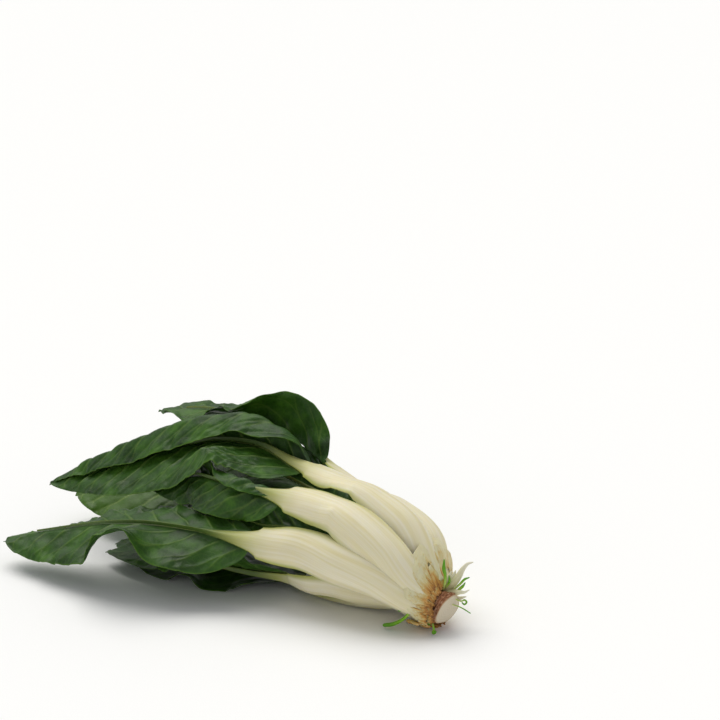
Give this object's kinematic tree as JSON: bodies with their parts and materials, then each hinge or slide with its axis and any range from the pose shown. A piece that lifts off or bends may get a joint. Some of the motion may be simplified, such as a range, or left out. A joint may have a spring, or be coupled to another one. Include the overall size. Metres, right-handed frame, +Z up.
{
  "type": "chard bunch",
  "caption": "Whole head of white-stalked chard lying on its side, broad ribbed stalks joined at a trimmed root and running out into large wavy green blades.",
  "frame": {"origin": "on the table under the middle of the bunch's bounding box", "axes": "+X along the bunch towards its cut root, the leaf tips along -X, +Z up from the table it lies on"},
  "size_m": [0.5366, 0.2988, 0.1866],
  "materials": {
    "root": "rough rind with a matt pale cut face",
    "stalk": "waxy satin",
    "blade": "soft waxy sheen",
    "scale": "dry and fibrous",
    "shoot": "satin"
  },
  "bodies": {
    "root": {"root_crown": "root", "top_leaf_stalk": "stalk", "front_leaf_stalk": "stalk", "upper_front_leaf_stalk": "stalk", "upper_back_leaf_stalk": "stalk", "bottom_leaf_stalk": "stalk", "lower_front_leaf_stalk": "stalk", "back_leaf_stalk": "stalk", "inner_back_leaf_stalk": "stalk", "inner_front_leaf_stalk": "stalk", "inner_top_leaf_stalk": "stalk", "heart_leaf_stalk": "stalk", "top_leaf_blade": "blade", "front_leaf_blade": "blade", "upper_front_leaf_blade": "blade", "upper_back_leaf_blade": "blade", "bottom_leaf_blade": "blade", "lower_front_leaf_blade": "blade", "back_leaf_blade": "blade", "inner_back_leaf_blade": "blade", "inner_front_leaf_blade": "blade", "inner_top_leaf_blade": "blade", "heart_leaf_blade": "blade", "dry_scale_front": "scale", "dry_scale_under": "scale", "hook_shoot": "shoot", "leafy_shoot": "shoot", "root_shoot": "shoot", "top_shoot": "shoot", "pale_stub": "stalk"}
  },
  "joints": []
}
